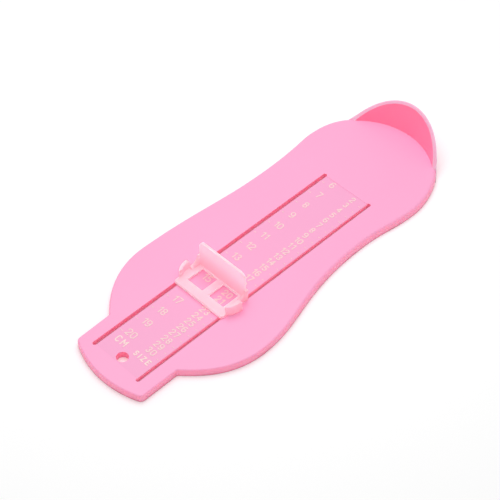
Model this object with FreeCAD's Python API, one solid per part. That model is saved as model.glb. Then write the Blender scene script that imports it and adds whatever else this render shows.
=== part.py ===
import FreeCAD
import Part
import math
import os

# Foot measuring device for children: a footprint-shaped board with a heel cup, and a toe stop that
# slides along two slots. All sizes are millimetres.
# X = 0 is the zero of the centimetre scale, where a heel meets the leaning wall of the cup, and +X
# points to the toes. Y = 0 is midway between the slots. Z = 0 is the surface that the board lies on.

Vec = FreeCAD.Vector
UP = Vec(0, 0, 1)

# ---- board --------------------------------------------------------------------------------------
board_thickness = 4.3
skin_thickness = 2.0          # the flat top over the hollow underside
track_wall = 3.15             # how deep the slots' walls go, over the keepers' tracks
skirt_width = 2.0             # the wall that goes down all round
heel_edge_radius = 2.1        # the top edge is rounder at the heel and the waist
toe_edge_radius = 1.0         # than from the ball to the neck
panel_depth = 0.3             # the strip between the slots is sunk, and carries the print

# ---- footprint outline ---------------------------------------------------------------------------
heel_centre_x = 39.4
heel_centre_y = -4.8
heel_radius = 39.5
heel_half_angle = 47.0        # the round part of the heel reaches this far each way

left_heel_x = 37.8            # left: widest point of the heel, narrowest of the waist, widest of the ball
left_heel_width = 43.0
left_waist_x = 79.3
left_waist_width = 40.2
left_ball_x = 157.7
left_ball_width = 44.7
left_notch_angle = 50.7       # degrees that the toe curve has turned in where the neck starts
right_heel_x = 41.0           # right: the same, with the foot's arch cut further in
right_heel_width = 34.0
right_waist_x = 78.3
right_waist_width = 30.7
right_ball_x = 159.2
right_ball_width = 43.5
right_notch_angle = 46.5

# How far each curve keeps its direction at its two ends, as shares of its span. They say how full the
# outline is before and after each point above.
left_start_pull = 0.15
left_heel_pull_in = 0.60
left_heel_pull_out = 0.18
left_waist_pull_in = 0.63
left_waist_pull_out = 0.36
left_ball_pull_in = 0.43
left_ball_pull_out = 0.30
left_notch_pull = 0.42
right_start_pull = 0.21
right_heel_pull_in = 0.38
right_heel_pull_out = 0.40
right_waist_pull_in = 0.47
right_waist_pull_out = 0.53
right_ball_pull_in = 0.32
right_ball_pull_out = 0.49
right_notch_pull = 0.22

notch_half_width = 23.9       # where the neck starts
notch_radius = 1.0
neck_length = 26.9
left_tail_width = 23.3
right_tail_width = 23.9
tail_bow_radius = 54.0        # the rounded end of the neck
tail_bow_y = 1.6
tail_corner_radius = 3.0
tail_margin = 9.4             # from the end of the slots to the end of the neck

# ---- heel cup ------------------------------------------------------------------------------------
cup_wall = 2.0                # at the board
cup_rim_wall = 1.3            # at the top of the back
cup_height = 18.3             # above the board, at the back
cup_lean = 3.0                # how far the wall leans out at the top
cup_half_angle = 48.0         # degrees from straight back to where its rim meets the board
cup_turn = 2.0                # degrees that the cup's opening is turned towards the arch
cup_rim_radius = 0.4

# ---- slots and scale -----------------------------------------------------------------------------
slot_half_spacing = 15.33
slot_width = 2.05
slot_edge_radius = 0.25       # round the tops of the slots and of the hanging hole
end_play = 0.25               # left between a leg and the end of its slot
lowest_reading = 52.6
highest_reading = 200.0
first_centimetre = 6
last_centimetre = 20
centimetre = 10.0
half_centimetre = centimetre / 2
hole_radius = 3.0
hole_margin = 14.3            # from the hanging hole's centre to the end of the neck
boss_wall = 2.0

# ---- underside -----------------------------------------------------------------------------------
rib_thickness = 1.2
rib_pitch = 26.0
track_clearance = 0.35        # between a keeper and the ribs beside it

# ---- toe stop slider -----------------------------------------------------------------------------
reading = 144.2               # where the toe stop stands at rest
run_gap = 0.12                # between the board and the slider's floor
floor_thickness = 1.5
floor_length = 18.0
floor_corner_radius = 1.5     # of its two corners at the toe end
floor_edge_radius = 0.5
floor_side_margin = 1.47      # the floor's reach past each slot's centre line
stop_thickness = 1.6
stop_height = 18.0            # above the board
stop_half_width = 15.7
stop_corner_radius = 3.6
stop_edge_radius = 0.45
window_gap = 0.5              # between the toe stop and the windows
window_length = 10.6
window_rib = 4.0              # the bar between the two windows
window_side_margin = 2.7      # from a window to the slot's centre line
window_corner_radius = 0.6
cheek_thickness = 1.8
cheek_high = 7.4              # above the board, at the toe stop
cheek_low = 3.2               # above the board, at its far end
cheek_length = 5.8
wing_thickness = 2.3
wing_height = 6.2             # above the board
wing_root_x = 14.8            # from the toe stop's face to where a wing leaves the floor
wing_tip_x = 6.2
wing_reach = 4.1              # how far a wing stands out past its slot's centre line
wing_corner_radius = 1.8
wing_edge_radius = 0.4
wing_knee = 2.2               # from a wing's root to the bend of its outer face
wing_taper = 1.2              # how much nearer the tip its inner face bends

# ---- legs and keepers ----------------------------------------------------------------------------
leg_thickness = 1.5
leg_length = 13.0
leg_start = 2.25              # from the toe stop's face
leg_corner_radius = 0.5       # its ends are rounded to follow the round ends of the slot
tenon_length = 7.0
keeper_width = 5.6
keeper_thickness = 0.6
keeper_corner_radius = 1.0
keeper_gap = 0.1              # between the roof of its track and a keeper
mortise_clearance = 0.05
barb_reach = 0.35
barb_height = 0.3

# ---- print ---------------------------------------------------------------------------------------
print_thickness = 0.12
centimetre_digit_height = 4.3
size_digit_height = 3.8
centimetre_label_height = 4.1
size_label_height = 3.3
stroke = 0.62
digit_gap = 0.5
letter_gap = 1.1              # in the words
centimetre_column_y = -7.4
size_column_y = 7.1
centimetre_number_shift = -1.7 # from a tick to the middle of its number
size_number_shift = -1.2
label_gap = 4.5               # from the last tick to the middle of the words
tick_width = 0.3
centimetre_tick_length = 1.5
size_tick_length = 1.0
tick_margin = 1.05            # between a tick and the slot
size_offset = 10              # a shoe size is twice the foot's centimetres, less this

# ---- worked out from the above -------------------------------------------------------------------
skin_bottom = board_thickness - skin_thickness
panel_top = board_thickness - panel_depth
leg_end = leg_start + leg_length
slot_toe_x = highest_reading + leg_end + end_play
slot_heel_x = lowest_reading + leg_start - end_play
tail_x = slot_toe_x + tail_margin
notch_x = tail_x - neck_length
hole_x = tail_x - hole_margin
strip_half_width = slot_half_spacing - slot_width / 2
floor_half_width = slot_half_spacing + floor_side_margin
floor_bottom = board_thickness + run_gap
floor_top = floor_bottom + floor_thickness
track_roof = board_thickness - track_wall
keeper_top = track_roof - keeper_gap
keeper_bottom = keeper_top - keeper_thickness


# ---- helpers -------------------------------------------------------------------------------------
def block(x0, x1, y0, y1, z0, z1):
    return Part.makeBox(x1 - x0, y1 - y0, z1 - z0, Vec(x0, y0, z0))


def prism(wire, z0, z1):
    """The solid over a flat closed wire drawn at Z = 0."""
    face = Part.Face(wire)
    face.translate(Vec(0, 0, z0))
    return face.extrude(Vec(0, 0, z1 - z0))


def loop(edges):
    return Part.Wire(Part.__sortEdges__(edges))


def line(p, q):
    return Part.LineSegment(p, q).toShape()


def arc(p, middle, q):
    return Part.Arc(p, middle, q).toShape()


def curve(poles):
    bezier = Part.BezierCurve()
    bezier.setPoles(poles)
    return bezier.toShape()


def stadium(x0, x1, y, radius, z0, z1):
    """A bar with round ends along X, such as a slot."""
    a = x0 + radius
    b = x1 - radius
    low = y - radius
    high = y + radius
    edges = [
        line(Vec(a, low, 0), Vec(b, low, 0)),
        arc(Vec(b, low, 0), Vec(x1, y, 0), Vec(b, high, 0)),
        line(Vec(b, high, 0), Vec(a, high, 0)),
        arc(Vec(a, high, 0), Vec(x0, y, 0), Vec(a, low, 0)),
    ]
    return prism(loop(edges), z0, z1)


def upright_edges(solid, x_from, x_to):
    """The vertical edges of a prism that stand between x_from and x_to."""
    found = []
    for edge in solid.Edges:
        box = edge.BoundBox
        if box.ZLength > 0.01 and box.XLength + box.YLength < 0.001 and x_from < box.XMin < x_to:
            found.append(edge)
    return found


def soften(solid, radius, chosen):
    """The solid with a radius on each edge whose bounding box is chosen."""
    return solid.makeFillet(radius, [edge for edge in solid.Edges if chosen(edge.BoundBox)])


def one_solid(shape):
    """The single solid of a shape that was made with booleans."""
    clean = shape.removeSplitter()
    assert len(clean.Solids) == 1, "this piece has come apart"
    return clean.Solids[0]


# ---- footprint -----------------------------------------------------------------------------------
def heel_point(angle, inset=0.0):
    """A point on the round of the heel, by degrees from straight back."""
    a = math.radians(angle)
    r = heel_radius - inset
    return Vec(heel_centre_x - r * math.cos(a), heel_centre_y + r * math.sin(a), 0)


def smooth_curve(p, p_way, q, q_way, p_pull, q_pull):
    """A curve from p to q that leaves and arrives along the given ways."""
    span = (q - p).Length
    return curve([p, p + p_way * p_pull * span, q - q_way * q_pull * span, q])


def side_edges(sign, inset, points, pulls, fall):
    """One side of the foot from the cup's end to the neck's; sign is -1 on the left."""
    along = Vec(1, 0, 0)
    turn = math.radians(heel_half_angle)
    ways = [Vec(math.sin(turn), sign * math.cos(turn), 0), along, along, along,
            Vec(math.cos(fall), -sign * math.sin(fall), 0)]
    places = [heel_point(sign * heel_half_angle, inset)]
    for x, width in points:
        places.append(Vec(x, sign * (width - inset), 0))
    places.append(Vec(notch_x - inset * math.tan(fall / 2), sign * (notch_half_width - inset), 0))
    edges = []
    for i in range(len(places) - 1):
        pull_out, pull_in = pulls[2 * i:2 * i + 2]
        edges.append(smooth_curve(places[i], ways[i], places[i + 1], ways[i + 1], pull_out, pull_in))
    return edges + [line(places[-1], tail_corner(sign, inset))]


def tail_corner(sign, inset=0.0):
    radius = tail_bow_radius - inset
    y = right_tail_width - inset if sign > 0 else inset - left_tail_width
    drop = radius - math.sqrt(radius ** 2 - (y - tail_bow_y) ** 2)
    return Vec(tail_x - inset - drop, y, 0)


def footprint(inset):
    """The closed outline of the board, drawn in by inset, before the tail's corners are rounded."""
    back = arc(heel_point(-heel_half_angle, inset), heel_point(0, inset), heel_point(heel_half_angle, inset))
    left_points = [(left_heel_x, left_heel_width), (left_waist_x, left_waist_width),
                   (left_ball_x, left_ball_width)]
    left_pulls = [left_start_pull, left_heel_pull_in, left_heel_pull_out, left_waist_pull_in,
                  left_waist_pull_out, left_ball_pull_in, left_ball_pull_out, left_notch_pull]
    right_points = [(right_heel_x, right_heel_width), (right_waist_x, right_waist_width),
                    (right_ball_x, right_ball_width)]
    right_pulls = [right_start_pull, right_heel_pull_in, right_heel_pull_out, right_waist_pull_in,
                   right_waist_pull_out, right_ball_pull_in, right_ball_pull_out, right_notch_pull]
    left = side_edges(-1, inset, left_points, left_pulls, math.radians(left_notch_angle))
    right = side_edges(1, inset, right_points, right_pulls, math.radians(right_notch_angle))
    tail = arc(tail_corner(-1, inset), Vec(tail_x - inset, tail_bow_y, 0), tail_corner(1, inset))
    return loop([back, tail] + left + right)


def footprint_solid(inset, z0, z1):
    plate = prism(footprint(inset), z0, z1)
    tail_from = min(tail_corner(-1, inset).x, tail_corner(1, inset).x) - 0.01
    plate = plate.makeFillet(tail_corner_radius - inset, upright_edges(plate, tail_from, tail_x))
    notches = upright_edges(plate, notch_x - skirt_width, notch_x + 0.01)
    return plate.makeFillet(notch_radius + inset, notches)


# ---- base board ----------------------------------------------------------------------------------
def edge_radius(x):
    """The radius of the board's top edge, which falls from the waist to the ball."""
    share = (x - right_waist_x) / (right_ball_x - right_waist_x)
    return heel_edge_radius + (toe_edge_radius - heel_edge_radius) * min(max(share, 0), 1)


def rounded_plate():
    plate = footprint_solid(0.0, 0, board_thickness)
    edges = []
    for number, edge in enumerate(plate.Edges, 1):
        if edge.BoundBox.ZMin > board_thickness - 0.001:
            first = edge.valueAt(edge.FirstParameter)
            last = edge.valueAt(edge.LastParameter)
            edges.append((number, edge_radius(first.x), edge_radius(last.x)))
    document = FreeCAD.newDocument("board")
    sharp = document.addObject("Part::Feature", "sharp_plate")
    sharp.Shape = plate
    soft = document.addObject("Part::Fillet", "soft_plate")
    soft.Base = sharp
    soft.Edges = edges
    document.recompute()
    return soft.Shape.Solids[0]


def below_cup_rim():
    """Everything under the slanting plane that the cup's rim lies in."""
    turn = math.radians(cup_turn)
    away = Vec(math.cos(turn), math.sin(turn), 0)
    end = heel_point(cup_half_angle)
    reach = heel_radius - heel_radius * math.cos(math.radians(cup_half_angle)) + cup_lean
    slope = math.atan2(cup_height, reach)
    normal = away * math.sin(slope) + UP * math.cos(slope)
    centre = Vec(end.x, heel_centre_y, board_thickness)
    size = 4 * heel_radius
    wedge = Part.makeBox(size, size, size, Vec(-size / 2, -size / 2, -size))
    wedge.Placement = FreeCAD.Placement(centre, FreeCAD.Rotation(UP, normal))
    return wedge


def heel_cup():
    """The leaning wall, with its root carried down through the board."""
    centre = Vec(heel_centre_x, heel_centre_y, board_thickness)
    tall = cup_height + heel_edge_radius
    lean = cup_lean * tall / cup_height
    outer = Part.makeCone(heel_radius, heel_radius + lean, tall, centre)
    inner_radius = heel_radius - cup_wall
    inner = Part.makeCone(inner_radius, heel_radius + lean - cup_rim_wall, tall, centre)
    root = Part.makeCylinder(heel_radius, board_thickness, centre - UP * board_thickness)
    root = root.cut(Part.makeCylinder(inner_radius, board_thickness, centre - UP * board_thickness))
    cup = one_solid(outer.cut(inner).fuse(root).common(below_cup_rim()))
    return soften(cup, cup_rim_radius, lambda box: box.ZLength > cup_height / 2)


def board_ribs():
    """What is left standing in the hollow: each keeper's track with its roof, and the cross ribs."""
    z0 = 0
    z1 = skin_bottom
    ribs = []
    inner = slot_half_spacing - keeper_width / 2 - track_clearance
    outer = slot_half_spacing + keeper_width / 2 + track_clearance
    track_heel = slot_heel_x - track_clearance - rib_thickness
    for sign in (-1, 1):
        for edge in (inner - rib_thickness, outer):
            ends = sorted([sign * edge, sign * (edge + rib_thickness)])
            ribs.append(block(track_heel, tail_x, ends[0], ends[1], z0, z1))
        side = sorted([sign * (inner - rib_thickness), sign * (outer + rib_thickness)])
        ribs.append(block(track_heel, track_heel + rib_thickness, side[0], side[1], z0, z1))
        ribs.append(block(track_heel, tail_x, side[0], side[1], track_roof, z1))
        reach = sorted([sign * outer, sign * 2 * left_ball_width])
        for x in rib_places():
            ribs.append(block(x, x + rib_thickness, reach[0], reach[1], z0, z1))
    for x in rib_places():
        middle = inner - rib_thickness / 2
        if x + rib_thickness < hole_x - hole_radius - boss_wall:
            ribs.append(block(x, x + rib_thickness, -middle, middle, z0, z1))
    boss = Part.makeCylinder(hole_radius + boss_wall, z1, Vec(hole_x, 0, 0))
    return ribs + [boss]


def rib_places():
    places = []
    x = slot_heel_x
    while x < slot_toe_x:
        places.append(x)
        x += rib_pitch
    return places


def board_hollow():
    hollow = footprint_solid(skirt_width, 0, skin_bottom)
    return hollow.cut(board_ribs())


def slot(sign, z0, z1):
    return stadium(slot_heel_x, slot_toe_x, sign * slot_half_spacing, slot_width / 2, z0, z1)


def base_board():
    above = board_thickness + 1
    cuts = [slot(-1, -1, above), slot(1, -1, above)]
    plate = rounded_plate().cut(cuts)
    plate = soften(plate, slot_edge_radius, top_of_slot)
    strip = [slot_heel_x + slot_width / 2, slot_toe_x - slot_width / 2]
    plate = plate.cut(block(strip[0], strip[1], -slot_half_spacing, slot_half_spacing, panel_top, above))
    plate = plate.cut(Part.makeCylinder(hole_radius, above + 1, Vec(hole_x, 0, -1)))
    plate = soften(plate, slot_edge_radius, top_of_hole)
    return one_solid(plate.fuse(heel_cup()).cut(board_hollow()))


def top_of_slot(box):
    inside = abs(abs(box.Center.y) - slot_half_spacing) < slot_width
    return box.ZMin > board_thickness - 0.001 and box.YLength < slot_width + 0.001 and inside


def top_of_hole(box):
    inside = abs(box.Center.x - hole_x) < 0.001 and abs(box.Center.y) < 0.001
    return inside and box.ZMin > panel_top - 0.001 and box.XLength > hole_radius


# ---- toe stop slider -----------------------------------------------------------------------------
def toe_stop():
    """The upright plate, with its two top corners rounded."""
    top = board_thickness + stop_height
    r = stop_corner_radius
    w = stop_half_width
    k = r * (1 - math.sqrt(0.5))
    x = reading
    edges = [
        line(Vec(x, -w, floor_bottom), Vec(x, w, floor_bottom)),
        line(Vec(x, w, floor_bottom), Vec(x, w, top - r)),
        arc(Vec(x, w, top - r), Vec(x, w - k, top - k), Vec(x, w - r, top)),
        line(Vec(x, w - r, top), Vec(x, -w + r, top)),
        arc(Vec(x, -w + r, top), Vec(x, -w + k, top - k), Vec(x, -w, top - r)),
        line(Vec(x, -w, top - r), Vec(x, -w, floor_bottom)),
    ]
    plate = Part.Face(loop(edges)).extrude(Vec(stop_thickness, 0, 0))
    return soften(plate, stop_edge_radius, lambda box: box.XLength < 0.001 and box.ZMax > floor_top)


def slider_floor():
    x0 = reading
    w = floor_half_width
    plate = block(x0, x0 + floor_length, -w, w, floor_bottom, floor_top)
    plate = plate.makeFillet(floor_corner_radius, upright_edges(plate, x0, x0 + floor_length + 1))
    plate = soften(plate, floor_edge_radius, lambda box: box.ZMin > floor_top - 0.001 and box.XMin > x0)
    start = x0 + stop_thickness + window_gap
    inner = window_rib / 2
    outer = slot_half_spacing - window_side_margin
    for sign in (-1, 1):
        ends = sorted([sign * inner, sign * outer])
        window = block(start, start + window_length, ends[0], ends[1], floor_bottom - 1, floor_top + 1)
        window = window.makeFillet(window_corner_radius, upright_edges(window, x0, x0 + floor_length))
        plate = plate.cut(window)
    return plate


def cheek(sign):
    """The end wall that sweeps down from the toe stop to the floor."""
    outer = sign * floor_half_width
    x0 = reading
    x1 = reading + stop_thickness
    x2 = x1 + cheek_length
    high = board_thickness + cheek_high
    low = board_thickness + cheek_low
    bend_x = x1 + 0.36 * cheek_length
    bend_z = low + 0.24 * (high - low)
    edges = [
        line(Vec(x0, outer, floor_bottom), Vec(x2, outer, floor_bottom)),
        line(Vec(x2, outer, floor_bottom), Vec(x2, outer, low)),
        arc(Vec(x2, outer, low), Vec(bend_x, outer, bend_z), Vec(x1, outer, high)),
        line(Vec(x1, outer, high), Vec(x0, outer, high)),
        line(Vec(x0, outer, high), Vec(x0, outer, floor_bottom)),
    ]
    return Part.Face(loop(edges)).extrude(Vec(0, -sign * cheek_thickness, 0))


def wing(sign):
    """The flared finger wing, and the web that joins it to the floor."""
    root_y = floor_half_width - 0.8
    tip_y = slot_half_spacing + wing_reach
    root = Vec(reading + wing_root_x, sign * root_y, 0)
    knee = Vec(reading + wing_root_x - wing_knee, sign * tip_y, 0)
    tip = Vec(reading + wing_tip_x, sign * tip_y, 0)
    t = wing_thickness
    inner_tip = tip - Vec(0, sign * t, 0)
    inner_knee = knee - Vec(wing_taper, sign * t, 0)
    inner_root = root - Vec(t, 0, 0)
    wall = loop([
        curve([root, knee, tip]),
        line(tip, inner_tip),
        curve([inner_tip, inner_knee, inner_root]),
        line(inner_root, root),
    ])
    web = loop([
        curve([root, knee, tip]),
        line(tip, Vec(tip.x, sign * root_y, 0)),
        line(Vec(tip.x, sign * root_y, 0), root),
    ])
    wall_solid = prism(wall, floor_bottom, board_thickness + wing_height)
    top_tip = board_thickness + wing_height
    soft = []
    for edge in wall_solid.Edges:
        box = edge.BoundBox
        if box.ZMin > top_tip - 0.001 and box.XLength < 0.001:
            soft.append(edge)
    wall_solid = wall_solid.makeFillet(wing_corner_radius, soft)
    ridge = top_tip - wing_corner_radius
    wall_solid = soften(wall_solid, wing_edge_radius, lambda box: box.ZMax > ridge and box.XLength > 0.5)
    return wall_solid.fuse(prism(web, floor_bottom, floor_top))


def leg(sign):
    """The blade that runs in a slot, and the barbed tenon below it that holds the keeper."""
    y = sign * slot_half_spacing - leg_thickness / 2
    x0 = reading + leg_start
    x1 = reading + leg_end
    middle = (x0 + x1) / 2
    a = middle - tenon_length / 2
    b = middle + tenon_length / 2
    blade = block(x0, x1, y, y + leg_thickness, keeper_top, floor_top)
    blade = blade.makeFillet(leg_corner_radius, upright_edges(blade, x0 - 1, x1 + 1))
    tenon = block(a, b, y, y + leg_thickness, keeper_bottom, keeper_top)
    low = keeper_bottom - barb_height
    barb = Part.Wire(Part.makePolygon([
        Vec(a - barb_reach, y, keeper_bottom),
        Vec(b + barb_reach, y, keeper_bottom),
        Vec(b - barb_reach, y, low),
        Vec(a + barb_reach, y, low),
        Vec(a - barb_reach, y, keeper_bottom),
    ]))
    return blade.fuse([tenon, Part.Face(barb).extrude(Vec(0, leg_thickness, 0))])


def toe_stop_slider():
    pieces = [slider_floor()]
    for sign in (-1, 1):
        pieces += [cheek(sign), wing(sign), leg(sign)]
    return one_solid(toe_stop().fuse(pieces))


def keeper(sign):
    """The shoe under the board that snaps onto a leg's tenon."""
    y = sign * slot_half_spacing
    x0 = reading + leg_start
    x1 = reading + leg_end
    half = keeper_width / 2
    shoe = block(x0, x1, y - half, y + half, keeper_bottom, keeper_top)
    shoe = shoe.makeFillet(keeper_corner_radius, upright_edges(shoe, x0 - 1, x1 + 1))
    long_half = tenon_length / 2 + mortise_clearance
    wide_half = leg_thickness / 2 + mortise_clearance
    middle = (x0 + x1) / 2
    mortise = block(middle - long_half, middle + long_half, y - wide_half, y + wide_half,
                    keeper_bottom - 1, keeper_top + 1)
    return one_solid(shoe.cut(mortise))


# ---- print ---------------------------------------------------------------------------------------
# Each glyph is a list of strokes on a cell 1 wide and 1.7 (cell_ratio) high. A bar is x0, y0, x1, y1.
# A bow is centre x, centre y, radius, and its first and last angle in degrees.
cell_ratio = 1.7
glyph_width = {"1": 0.6, "M": 1.15, "I": 0.0}
glyph_bars = {
    "0": [(0, 0.5, 0, 1.2), (1, 0.5, 1, 1.2)],
    "1": [(0.6, 0, 0.6, 1.7), (0.6, 1.7, 0.15, 1.3)],
    "2": [(0.93, 0.95, 0, 0), (0, 0, 1, 0)],
    "4": [(0.75, 0, 0.75, 1.7), (0.75, 1.7, 0, 0.5), (0, 0.5, 1, 0.5)],
    "5": [(0.95, 1.7, 0.15, 1.7), (0.15, 1.7, 0.1, 0.9)],
    "6": [(0, 0.5, 0, 1.15)],
    "7": [(0, 1.7, 1, 1.7), (1, 1.7, 0.35, 0)],
    "9": [(1, 0.55, 1, 1.2)],
    "C": [(0, 0.5, 0, 1.2)],
    "M": [(0, 0, 0, 1.7), (0, 1.7, 0.575, 0.7), (0.575, 0.7, 1.15, 1.7), (1.15, 1.7, 1.15, 0)],
    "I": [(0, 0, 0, 1.7)],
    "Z": [(0, 1.7, 1, 1.7), (1, 1.7, 0, 0), (0, 0, 1, 0)],
    "E": [(0, 0, 0, 1.7), (0, 1.7, 0.9, 1.7), (0, 0.88, 0.75, 0.88), (0, 0, 0.9, 0)],
}
glyph_bows = {
    "0": [(0.5, 1.2, 0.5, 0, 180), (0.5, 0.5, 0.5, 180, 360)],
    "2": [(0.5, 1.2, 0.5, -30, 180)],
    "3": [(0.5, 1.28, 0.42, -90, 160), (0.5, 0.43, 0.43, -160, 90)],
    "5": [(0.48, 0.52, 0.52, -145, 135)],
    "6": [(0.5, 0.5, 0.5, 0, 360), (0.55, 1.15, 0.55, 55, 180)],
    "8": [(0.5, 0.43, 0.43, 0, 360), (0.5, 1.28, 0.42, 0, 360)],
    "9": [(0.5, 1.2, 0.5, 0, 360), (0.45, 0.55, 0.55, -125, 0)],
    "C": [(0.5, 1.2, 0.5, 25, 180), (0.5, 0.5, 0.5, 180, 335)],
    "S": [(0.5, 1.28, 0.42, 20, 270), (0.5, 0.43, 0.43, -160, 90)],
}


def bar_solid(x0, y0, x1, y1, unit):
    p = Vec(x0 * unit, y0 * unit, 0)
    q = Vec(x1 * unit, y1 * unit, 0)
    bar = stadium(-stroke / 2, (q - p).Length + stroke / 2, 0, stroke / 2, 0, print_thickness)
    bar.rotate(Vec(0, 0, 0), UP, math.degrees(math.atan2(q.y - p.y, q.x - p.x)))
    bar.translate(p)
    return bar


def bow_solid(cx, cy, radius, first, last, unit):
    centre = Vec(cx * unit, cy * unit, 0)
    r = radius * unit
    sweep = last - first
    ring = Part.makeCylinder(r + stroke / 2, print_thickness, centre, UP, sweep)
    ring = ring.cut(Part.makeCylinder(r - stroke / 2, print_thickness, centre, UP))
    ring.rotate(centre, UP, first)
    if sweep >= 360:
        return ring
    caps = []
    for angle in (first, last):
        a = math.radians(angle)
        end = centre + Vec(r * math.cos(a), r * math.sin(a), 0)
        caps.append(Part.makeCylinder(stroke / 2, print_thickness, end))
    return ring.fuse(caps)


def glyph(name, height):
    """One numeral or letter, lying flat with its lower left corner at the origin."""
    unit = (height - stroke) / cell_ratio
    strokes = [bar_solid(*bar, unit) for bar in glyph_bars.get(name, [])]
    strokes += [bow_solid(*bow, unit) for bow in glyph_bows.get(name, [])]
    shape = strokes[0]
    if len(strokes) > 1:
        shape = shape.fuse(strokes[1:])
    shape = one_solid(shape)
    shape.translate(Vec(stroke / 2, stroke / 2, 0))
    return shape


def word(text, x, y, height, gap, glyphs):
    """A number or word centred at x, y. It reads from the toe end, so its top points to the heel."""
    unit = (height - stroke) / cell_ratio
    widths = [glyph_width.get(letter, 1.0) * unit + stroke for letter in text]
    total = sum(widths) + gap * (len(text) - 1)
    pen = -total / 2
    solids = []
    for letter, width in zip(text, widths):
        piece = glyphs[letter].copy()
        piece.translate(Vec(pen, -height / 2, 0))
        piece.rotate(Vec(0, 0, 0), UP, 90)
        piece.translate(Vec(x, y, panel_top))
        solids.append(piece)
        pen += width + gap
    return solids


def tick(x, y0, y1):
    ends = sorted([y0, y1])
    half = tick_width / 2
    return block(x - half, x + half, ends[0], ends[1], panel_top, panel_top + print_thickness)


def print_nodes():
    large = {name: glyph(name, centimetre_digit_height) for name in "0123456789"}
    small = {name: glyph(name, size_digit_height) for name in "0123456789"}
    large_letters = {name: glyph(name, centimetre_label_height) for name in "CM"}
    small_letters = {name: glyph(name, size_label_height) for name in "SIZE"}
    edge = strip_half_width - tick_margin
    numerals = []
    ticks = []
    for n in range(first_centimetre, last_centimetre + 1):
        x = n * centimetre
        middle = x + centimetre_number_shift
        numerals += word(str(n), middle, centimetre_column_y, centimetre_digit_height, digit_gap, large)
        ticks.append(tick(x, -edge, -edge + centimetre_tick_length))
    sizes = []
    size_ticks = []
    for n in range(2 * first_centimetre, 2 * last_centimetre + 1):
        x = n * half_centimetre
        size = str(n - size_offset)
        sizes += word(size, x + size_number_shift, size_column_y, size_digit_height, digit_gap, small)
        size_ticks.append(tick(x, edge - size_tick_length, edge))
    label_x = last_centimetre * centimetre + label_gap
    cm_height = centimetre_label_height
    return {
        "centimetre_numerals": numerals,
        "centimetre_ticks": ticks,
        "centimetre_label": word("CM", label_x, centimetre_column_y, cm_height, letter_gap, large_letters),
        "size_numerals": sizes,
        "size_ticks": size_ticks,
        "size_label": word("SIZE", label_x, size_column_y, size_label_height, letter_gap, small_letters),
    }


# ---- export --------------------------------------------------------------------------------------
os.makedirs("parts", exist_ok=True)
nodes = {
    "base_board": base_board(),
    "toe_stop_slider": toe_stop_slider(),
    "left_keeper": keeper(-1),
    "right_keeper": keeper(1),
}
for name, solids in print_nodes().items():
    nodes[name] = Part.makeCompound(solids)
for name, shape in nodes.items():
    shape.exportStep("parts/" + name + ".step")
    print(name, "solids", len(shape.Solids), "valid", shape.isValid(), "mm3", round(shape.Volume, 1))
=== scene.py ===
import bpy
import bmesh
import math
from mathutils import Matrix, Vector


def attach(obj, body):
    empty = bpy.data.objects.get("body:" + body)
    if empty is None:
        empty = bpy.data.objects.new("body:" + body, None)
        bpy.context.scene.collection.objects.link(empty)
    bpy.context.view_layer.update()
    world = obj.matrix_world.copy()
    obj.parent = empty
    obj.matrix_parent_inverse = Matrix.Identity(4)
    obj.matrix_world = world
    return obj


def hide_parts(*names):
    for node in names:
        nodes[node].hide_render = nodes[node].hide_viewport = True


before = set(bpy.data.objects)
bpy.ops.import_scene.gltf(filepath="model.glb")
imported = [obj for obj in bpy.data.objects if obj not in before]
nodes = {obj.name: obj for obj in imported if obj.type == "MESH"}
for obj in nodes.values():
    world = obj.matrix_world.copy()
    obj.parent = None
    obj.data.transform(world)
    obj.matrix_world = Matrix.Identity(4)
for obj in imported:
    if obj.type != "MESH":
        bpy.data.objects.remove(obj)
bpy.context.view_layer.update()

mm = 0.001
wallUp = 0.5      # a face is a wall where the upright part of its normal is under this
scene = bpy.context.scene


def hexToLinear(code):
    channels = [int(code[i:i + 2], 16) / 255 for i in (1, 3, 5)]
    return [c / 12.92 if c <= 0.04045 else ((c + 0.055) / 1.055) ** 2.4 for c in channels] + [1.0]


def addNode(tree, kind, inputs=None, **settings):
    node = tree.nodes.new(kind)
    for name, value in settings.items():
        setattr(node, name, value)
    for name, value in (inputs or {}).items():
        if isinstance(value, bpy.types.NodeSocket):
            tree.links.new(value, node.inputs[name])
        else:
            node.inputs[name].default_value = value
    return node


def emptyTree(owner):
    owner.use_nodes = True
    owner.node_tree.nodes.clear()
    return owner.node_tree


# the camera stands off the toe end, on the arch side
view = {
    "azimuth": 135.15,
    "elevation": 47.93,
    "distance": 749 * mm,
    "lens": 108.04,        # millimetres, as the sensor
    "sensor": 36,
    "nearest": 10 * mm,
    "target": Vector((120.7, -5.5, 4.3)) * mm,
}


def placeCamera():
    azimuth = math.radians(view["azimuth"])
    elevation = math.radians(view["elevation"])
    back = Vector((math.sin(azimuth) * math.cos(elevation), -math.cos(azimuth) * math.cos(elevation),
                   math.sin(elevation)))
    data = bpy.data.cameras.new("camera")
    data.lens = view["lens"]
    data.sensor_width = view["sensor"]
    data.clip_start = view["nearest"]
    camera = bpy.data.objects.new("camera", data)
    camera.location = view["target"] + back * view["distance"]
    camera.rotation_euler = back.to_track_quat("Z", "Y").to_euler()
    scene.collection.objects.link(camera)
    scene.camera = camera


light = {
    "worldStrength": 0.75,
    "seenStrength": 1.0,   # where the camera, a mirror or a clear body looks at the world
    "boxEnergy": 1.35,     # watts, a wide soft box close over the board
    "boxSize": 0.5,
    "boxPlace": Vector((0.06, -0.1, 0.5)),
}


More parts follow.
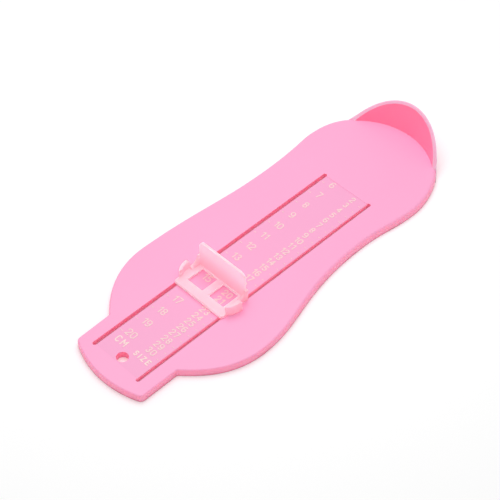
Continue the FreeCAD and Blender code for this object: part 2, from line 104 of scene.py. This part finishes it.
def placeLights():
    world = bpy.data.worlds.new("studio")
    scene.world = world
    tree = emptyTree(world)
    rays = addNode(tree, "ShaderNodeLightPath").outputs
    seen = addNode(tree, "ShaderNodeMath", {0: rays["Is Camera Ray"], 1: rays["Is Glossy Ray"]},
                   operation="MAXIMUM")
    seen = addNode(tree, "ShaderNodeMath", {0: seen.outputs[0], 1: rays["Is Transmission Ray"]},
                   operation="MAXIMUM")
    strength = addNode(tree, "ShaderNodeMapRange", {
        "Value": seen.outputs[0], "To Min": light["worldStrength"], "To Max": light["seenStrength"]})
    background = addNode(tree, "ShaderNodeBackground", {"Strength": strength.outputs[0]})
    addNode(tree, "ShaderNodeOutputWorld", {"Surface": background.outputs[0]})
    box = bpy.data.lights.new("softBox", "AREA")
    box.shape = "DISK"
    box.size = light["boxSize"]
    box.energy = light["boxEnergy"]
    lamp = bpy.data.objects.new("softBox", box)
    lamp.location = light["boxPlace"]
    lamp.rotation_euler = (lamp.location - view["target"]).to_track_quat("Z", "Y").to_euler()
    scene.collection.objects.link(lamp)
    print("camera and lights placed")


paper = {
    "half": 3.0,
    "colour": "#F6F6F6",
    "lift": 0.135,         # what the camera sees on top of the paper's own light, so that it is white
}


def layFloor():
    mesh = bpy.data.meshes.new("floor")
    half = paper["half"]
    corners = [(-half, -half, 0), (half, -half, 0), (half, half, 0), (-half, half, 0)]
    mesh.from_pydata(corners, [], [(0, 1, 2, 3)])
    floor = bpy.data.objects.new("floor", mesh)
    scene.collection.objects.link(floor)
    material = bpy.data.materials.new("whiteBackdropPaper")   # matt white paper, it keeps the contact shadow
    tree = emptyTree(material)
    matt = addNode(tree, "ShaderNodeBsdfDiffuse", {"Color": hexToLinear(paper["colour"])})
    rays = addNode(tree, "ShaderNodeLightPath")
    lift = addNode(tree, "ShaderNodeMath", {0: rays.outputs["Is Camera Ray"], 1: paper["lift"]},
                   operation="MULTIPLY")
    glow = addNode(tree, "ShaderNodeEmission", {"Strength": lift.outputs[0]})
    both = addNode(tree, "ShaderNodeAddShader", {0: matt.outputs[0], 1: glow.outputs[0]})
    addNode(tree, "ShaderNodeOutputMaterial", {"Surface": both.outputs[0]})
    mesh.materials.append(material)
    print("floor laid")


moulding = {
    "levelUp": 0.98,       # a face counts as level down to this upright part of its normal
    "cloudDetail": 2.0,
    "grainDetail": 3.0,
    "roughSwing": 0.06,    # how far the roughness strays to each side
}


def between(tree, upright, flat, wall):
    if flat == wall:
        return flat
    return addNode(tree, "ShaderNodeMapRange", {"Value": upright, "To Min": flat, "To Max": wall}).outputs[0]


def mix(tree, share, first, second):
    return addNode(tree, "ShaderNodeMix", {"Factor": share, "A": first, "B": second},
                   data_type="RGBA").outputs["Result"]


def mouldedPlastic(name, look):
    material = bpy.data.materials.new(name)
    tree = emptyTree(material)
    place = addNode(tree, "ShaderNodeTexCoord").outputs["Object"]
    cloud = addNode(tree, "ShaderNodeTexNoise", {
        "Vector": place, "Scale": 1 / look["cloudSize"], "Detail": moulding["cloudDetail"]})
    tint = mix(tree, cloud.outputs["Fac"], hexToLinear(look["colour"]), hexToLinear(look["cloudColour"]))
    surface = addNode(tree, "ShaderNodeNewGeometry")
    facing = addNode(tree, "ShaderNodeSeparateXYZ", {"Vector": surface.outputs["Normal"]})
    upright = addNode(tree, "ShaderNodeMapRange", {
        "Value": facing.outputs["Z"], "From Min": moulding["levelUp"], "From Max": wallUp}).outputs[0]
    # upright faces take the wall colour, and towards their foot the foot colour: painted shade on the
    # board's walls and the slider's toe stop
    wall = hexToLinear(look["wallColour"])
    if "footShadeColour" in look:
        spot = addNode(tree, "ShaderNodeSeparateXYZ", {"Vector": place})
        footShadeFade = addNode(tree, "ShaderNodeMapRange", {
            "Value": spot.outputs["Z"], "From Min": look["foot"], "From Max": look["head"]})
        wall = mix(tree, footShadeFade.outputs[0], hexToLinear(look["footShadeColour"]), wall)
    tint = mix(tree, upright, tint, wall)
    grain = addNode(tree, "ShaderNodeTexNoise", {
        "Vector": place, "Scale": 1 / look["grainSize"], "Detail": moulding["grainDetail"]}).outputs["Fac"]
    rough = addNode(tree, "ShaderNodeMapRange", {
        "Value": grain, "To Min": look["roughness"] - moulding["roughSwing"],
        "To Max": look["roughness"] + moulding["roughSwing"]})
    bump = addNode(tree, "ShaderNodeBump", {"Height": grain, "Distance": look["relief"], "Strength": 1.0})
    soft = between(tree, upright, look["flatSoft"], look["wallSoft"])
    # the glow is painted light: emission from surfaces that are no lamp
    glow = between(tree, upright, look["flatGlow"], look["wallGlow"])
    shader = addNode(tree, "ShaderNodeBsdfPrincipled", {
        "Base Color": tint, "Roughness": rough.outputs[0], "Normal": bump.outputs[0], "IOR": look["ior"],
        "Subsurface Weight": soft, "Subsurface Radius": look["softReach"], "Subsurface Scale": mm,
        "Emission Color": hexToLinear(look["glowColour"]), "Emission Strength": glow,
        "Transmission Weight": look.get("clear", 0.0)})
    addNode(tree, "ShaderNodeOutputMaterial", {"Surface": shader.outputs[0]})
    return material


polypropylene = {
    "grainSize": 0.6 * mm, "relief": 0.01 * mm, "roughness": 0.37, "ior": 1.49,
    "flatSoft": 1.0, "wallSoft": 1.0, "softReach": (2.5, 0.7, 1.0),
    "glowColour": "#000000", "flatGlow": 0.0, "wallGlow": 0.0}
# injection-moulded polypropylene with a fine spark-eroded texture: soft satin, with some real light from
# inside the plastic coming out of its walls. The walls are painted a deeper pink as painted shade, with a
# painted red glow, and painted darker still towards their foot as painted contact shadow. The grain is drawn
# at 0.6 mm, coarser than the real one, which is too fine to show
boardPlastic = mouldedPlastic("satinPinkPolypropylene", {
    **polypropylene,
    "colour": "#FFA8D1", "cloudColour": "#FFACD4", "wallColour": "#FF9FC0", "cloudSize": 45 * mm,
    "footShadeColour": "#D6708F", "foot": 0.2 * mm, "head": 1.1 * mm,
    "flatSoft": 0.0, "wallSoft": 0.4, "glowColour": "#FF7896", "wallGlow": 0.18})
# the same moulding on the sunk panel under the print, where the mould was smoother, and on the ribbed
# underside: a little cooler
panelPlastic = mouldedPlastic("mauvePanelPolypropylene", {
    **polypropylene,
    "colour": "#F9A7CF", "cloudColour": "#F9AAD1", "wallColour": "#F9A7CF", "cloudSize": 45 * mm,
    "relief": 0.005 * mm, "roughness": 0.4, "flatSoft": 0.0, "wallSoft": 0.0})
# the same moulding on the rim of the heel cup, thin enough to let some light through, and painted paler as a
# painted highlight of the light it catches from above
rimPlastic = mouldedPlastic("cupRimPaintedHighlightPolypropylene", {
    **polypropylene,
    "colour": "#FFBFD8", "cloudColour": "#FFBDD6", "wallColour": "#FFBFD8", "cloudSize": 30 * mm,
    "softReach": (1.0, 0.7, 0.8)})
# the same moulding inside the heel cup, painted a deeper pink with a painted glow for its own pink reflected
# from wall to wall
cupPlastic = mouldedPlastic("cupPaintedReflectionPolypropylene", {
    **polypropylene,
    "colour": "#FF89AC", "cloudColour": "#FF85A9", "wallColour": "#FF89AC", "cloudSize": 30 * mm,
    "roughness": 0.42, "softReach": (1.5, 0.7, 1.0),
    "glowColour": "#FF6A90", "flatGlow": 0.2, "wallGlow": 0.2})
# the same moulding in the walls of the slots, their tracks and the hole, painted a deeper red as painted
# shade and reflected pink, with a painted red glow
slotPlastic = mouldedPlastic("slotPaintedShadeAndGlowPolypropylene", {
    **polypropylene,
    "colour": "#EA84A0", "cloudColour": "#E47E9A", "wallColour": "#EA84A0", "cloudSize": 12 * mm,
    "roughness": 0.5, "softReach": (2.0, 0.8, 1.0),
    "glowColour": "#FF80A4", "flatGlow": 0.24, "wallGlow": 0.24})

styrene = {
    "colour": "#FAEBF1", "cloudColour": "#FAE8EF", "cloudSize": 9 * mm,
    "grainSize": 0.8 * mm, "relief": 0.01 * mm, "roughness": 0.42, "ior": 1.59, "clear": 0.6,
    "flatSoft": 1.0, "wallSoft": 1.0, "softReach": (2.0, 1.5, 1.5)}
# injection-moulded styrene with a trace of pink, a little cloudy: pale, with light passing through it. Its
# walls are painted pinker towards the foot as painted shade and painted pink light reflected from the board,
# and it carries a painted glow
sliderPlastic = mouldedPlastic("frostedPinkStyrene", {
    **styrene, "wallColour": "#FFE7ED", "footShadeColour": "#FFB2C0", "foot": 4 * mm, "head": 17 * mm,
    "glowColour": "#FFC4D4", "flatGlow": 0.14, "wallGlow": 0.2})
# the same styrene on the thin low walls of the slider's floor and windows, painted paler with a painted glow
# to lift the shade under the bar and in the windows
edgePlastic = mouldedPlastic("edgePaintedLightStyrene", {
    **styrene, "wallColour": "#FFEDF1", "glowColour": "#FFDCE6", "flatGlow": 0.2, "wallGlow": 0.2})

ink = {
    "cloudSize": 1.5 * mm, "grainSize": 0.4 * mm, "relief": 0.006 * mm, "roughness": 0.6, "ior": 1.5,
    "flatSoft": 0.0, "wallSoft": 0.0, "softReach": (0.1, 0.1, 0.1),
    "glowColour": "#000000", "flatGlow": 0.0, "wallGlow": 0.0}
# pad-printed ink: a thin matt cream film, uneven where the pad lifted
inkFilm = mouldedPlastic("creamPadPrintInk", {
    **ink, "colour": "#FBD6D6", "cloudColour": "#F8D1D2", "wallColour": "#F8D1D2"})
# the same ink printed heavier, as on the words at the tail: whiter
denseInk = mouldedPlastic("denseCreamPrintInk", {
    **ink, "colour": "#FFE3DE", "cloudColour": "#FCDCD8", "wallColour": "#FCDCD8"})
print("materials made")


smoothing = {
    "weld": 0.001 * mm,    # corners closer than this are one corner
    "sharpAngle": 40,      # degrees between faces, from which an edge stays sharp
    "weight": 100,         # the large faces lead the shading
    "levelUp": 0.9999,     # level faces stay level beside the radii
}


def smoothCopy(nodeName, pieceName):
    shape = bmesh.new()
    shape.from_mesh(nodes[nodeName].data)
    bmesh.ops.remove_doubles(shape, verts=shape.verts, dist=smoothing["weld"])
    mesh = bpy.data.meshes.new(pieceName)
    shape.to_mesh(mesh)
    shape.free()
    mesh.shade_smooth()
    mesh.set_sharp_from_angle(angle=math.radians(smoothing["sharpAngle"]))
    piece = bpy.data.objects.new(pieceName, mesh)
    scene.collection.objects.link(piece)
    weighted = piece.modifiers.new("weighted", "WEIGHTED_NORMAL")
    weighted.keep_sharp = True
    weighted.weight = smoothing["weight"]
    mesh = bakeModifiers(piece)
    normals = [corner.vector.copy() for corner in mesh.corner_normals]
    for face in mesh.polygons:
        if abs(face.normal.z) > smoothing["levelUp"]:
            for corner in face.loop_indices:
                normals[corner] = face.normal
    mesh.normals_split_custom_set(normals)
    return piece


def bakeModifiers(piece):
    shown = piece.evaluated_get(bpy.context.evaluated_depsgraph_get())
    mesh = bpy.data.meshes.new_from_object(shown)
    piece.modifiers.clear()
    piece.data = mesh
    mesh.name = piece.name
    return mesh


def standsFor(piece, body, nodeName):
    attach(piece, body)
    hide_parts(nodeName)
    print(piece.name, "made,", len(piece.data.polygons), "faces")


board = {
    "top": 4.3 * mm, "panelTop": 4.0 * mm,
    "slotY": 15.33 * mm, "slotHalfWidth": 1.06 * mm, "slotHeel": 54.5 * mm, "slotToe": 215.6 * mm,
    "trackHalfWidth": 3.2 * mm,   # the keepers' tracks below the slots
    "holeX": 210.6 * mm, "holeRadius": 3.1 * mm,
    "heelCentre": Vector((39.4, -4.8, 0)) * mm, "cupReach": 20 * mm,
    "rimUp": 0.42,                # upright part of the normal, from which the cup's rim begins
    "cupIn": -0.3,                # how far a face of the cup looks away from the heel's centre
    "panelUp": 0.99,
    "nearly": 0.05 * mm,          # a height counts as met within this
    "off": 0.01 * mm,             # a ray starts this far in front of its own face
    "reach": 90 * mm,             # across the hollow underside, from wall to wall
}


def boardPart(piece, face):
    c = face.center
    up = face.normal.z
    raised = c.z > board["top"] + board["nearly"] and c.x < board["cupReach"]
    if raised and up > board["rimUp"]:
        return "rim"
    out = Vector((c.x, c.y, 0)) - board["heelCentre"]
    if raised and face.normal.dot(out.normalized()) < board["cupIn"]:
        return "cup"
    low = c.z < board["top"] / 2
    if abs(up) < wallUp:
        aside = abs(abs(c.y) - board["slotY"])
        along = board["slotHeel"] < c.x < board["slotToe"]
        inSlot = along and aside < board["slotHalfWidth"]
        inTrack = along and low and aside < board["trackHalfWidth"]
        inHole = math.hypot(c.x - board["holeX"], c.y) < board["holeRadius"]
        # slot, track and hole walls take the painted shade and glow of slotPlastic
        if inSlot or inTrack or inHole:
            return "slot"
    if abs(c.z - board["panelTop"]) < board["nearly"] and up > board["panelUp"]:
        return "panel"
    start = c + face.normal * board["off"]
    if up < -wallUp or low and piece.ray_cast(start, face.normal, distance=board["reach"])[0]:
        return "panel"
    return "plain"


def makeBoard():
    piece = smoothCopy("base_board", "board")
    mesh = piece.data
    parts = {"plain": boardPlastic, "slot": slotPlastic, "cup": cupPlastic, "panel": panelPlastic,
             "rim": rimPlastic}
    mesh.materials.clear()
    for material in parts.values():
        mesh.materials.append(material)
    order = list(parts)
    for face in mesh.polygons:
        face.material_index = order.index(boardPart(piece, face))
    standsFor(piece, "board", "base_board")


slider = {
    "edgeTop": 6.2 * mm,      # above it stand the toe stop and the finger wings
    "edgeReach": 16 * mm,     # beyond it are the wings
}


def makeSlider():
    piece = smoothCopy("toe_stop_slider", "slider")
    mesh = piece.data
    mesh.materials.clear()
    mesh.materials.append(sliderPlastic)
    mesh.materials.append(edgePlastic)
    for face in mesh.polygons:
        low = face.center.z < slider["edgeTop"] and abs(face.center.y) < slider["edgeReach"]
        # low walls get the painted light of edgePlastic
        face.material_index = 1 if low and abs(face.normal.z) < wallUp else 0
    standsFor(piece, "slider", "toe_stop_slider")


ticks = {
    "width": 0.3 * mm, "height": 0.12 * mm, "base": board["panelTop"], "first": 60 * mm,
    "rows": {
        "centimetre_ticks": {"count": 15, "pitch": 10 * mm, "length": 1.5 * mm, "side": -12.505 * mm},
        "size_ticks": {"count": 29, "pitch": 5 * mm, "length": 1.0 * mm, "side": 12.755 * mm},
    },
}


def tickTree():
    tree = bpy.data.node_groups.new("tickRow", "GeometryNodeTree")
    sockets = {}
    for name, kind in (("Count", "Int"), ("First", "Float"), ("Pitch", "Float"), ("Side", "Float"),
                       ("Length", "Float"), ("Width", "Float"), ("Height", "Float"), ("Base", "Float"),
                       ("Ink", "Material")):
        socket = tree.interface.new_socket(name=name, in_out="INPUT", socket_type="NodeSocket" + kind)
        sockets[name] = socket.identifier
    tree.interface.new_socket(name="Geometry", in_out="OUTPUT", socket_type="NodeSocketGeometry")
    given = addNode(tree, "NodeGroupInput").outputs
    middle = addNode(tree, "ShaderNodeMath", {0: given["Height"], 1: 0.5, 2: given["Base"]},
                     operation="MULTIPLY_ADD")
    start = addNode(tree, "ShaderNodeCombineXYZ", {
        "X": given["First"], "Y": given["Side"], "Z": middle.outputs[0]})
    step = addNode(tree, "ShaderNodeCombineXYZ", {"X": given["Pitch"]})
    places = addNode(tree, "GeometryNodeMeshLine", {
        "Count": given["Count"], "Start Location": start.outputs[0], "Offset": step.outputs[0]})
    size = addNode(tree, "ShaderNodeCombineXYZ", {
        "X": given["Width"], "Y": given["Length"], "Z": given["Height"]})
    bar = addNode(tree, "GeometryNodeMeshCube", {"Size": size.outputs[0]})
    spread = addNode(tree, "GeometryNodeInstanceOnPoints", {
        "Points": places.outputs["Mesh"], "Instance": bar.outputs["Mesh"]})
    real = addNode(tree, "GeometryNodeRealizeInstances", {"Geometry": spread.outputs["Instances"]})
    inked = addNode(tree, "GeometryNodeSetMaterial", {
        "Geometry": real.outputs["Geometry"], "Material": given["Ink"]})
    addNode(tree, "NodeGroupOutput", {"Geometry": inked.outputs["Geometry"]})
    return tree, sockets


def makeTicks():
    tree, sockets = tickTree()
    for nodeName, row in ticks["rows"].items():
        pieceName = nodeName.replace("_t", "T")
        piece = bpy.data.objects.new(pieceName, bpy.data.meshes.new(pieceName))
        scene.collection.objects.link(piece)
        modifier = piece.modifiers.new("tickRow", "NODES")
        modifier.node_group = tree
        for name, value in {"Count": row["count"], "First": ticks["first"], "Pitch": row["pitch"],
                            "Side": row["side"], "Length": row["length"], "Width": ticks["width"],
                            "Height": ticks["height"], "Base": ticks["base"], "Ink": inkFilm}.items():
            modifier[sockets[name]] = value
        bakeModifiers(piece)
        standsFor(piece, "board", nodeName)


# the nodes that are shown as they come
looks = {
    "left_keeper": sliderPlastic, "right_keeper": sliderPlastic,
    "centimetre_numerals": inkFilm, "size_numerals": inkFilm,
    "centimetre_label": denseInk, "size_label": denseInk,
}


def finishNodes():
    for name, material in looks.items():
        for slot in nodes[name].material_slots:
            slot.material = material
    print("keepers, numbers and words finished")


placeCamera()
placeLights()
layFloor()
makeBoard()
makeSlider()
makeTicks()
finishNodes()
scene.view_settings.view_transform = "Standard"
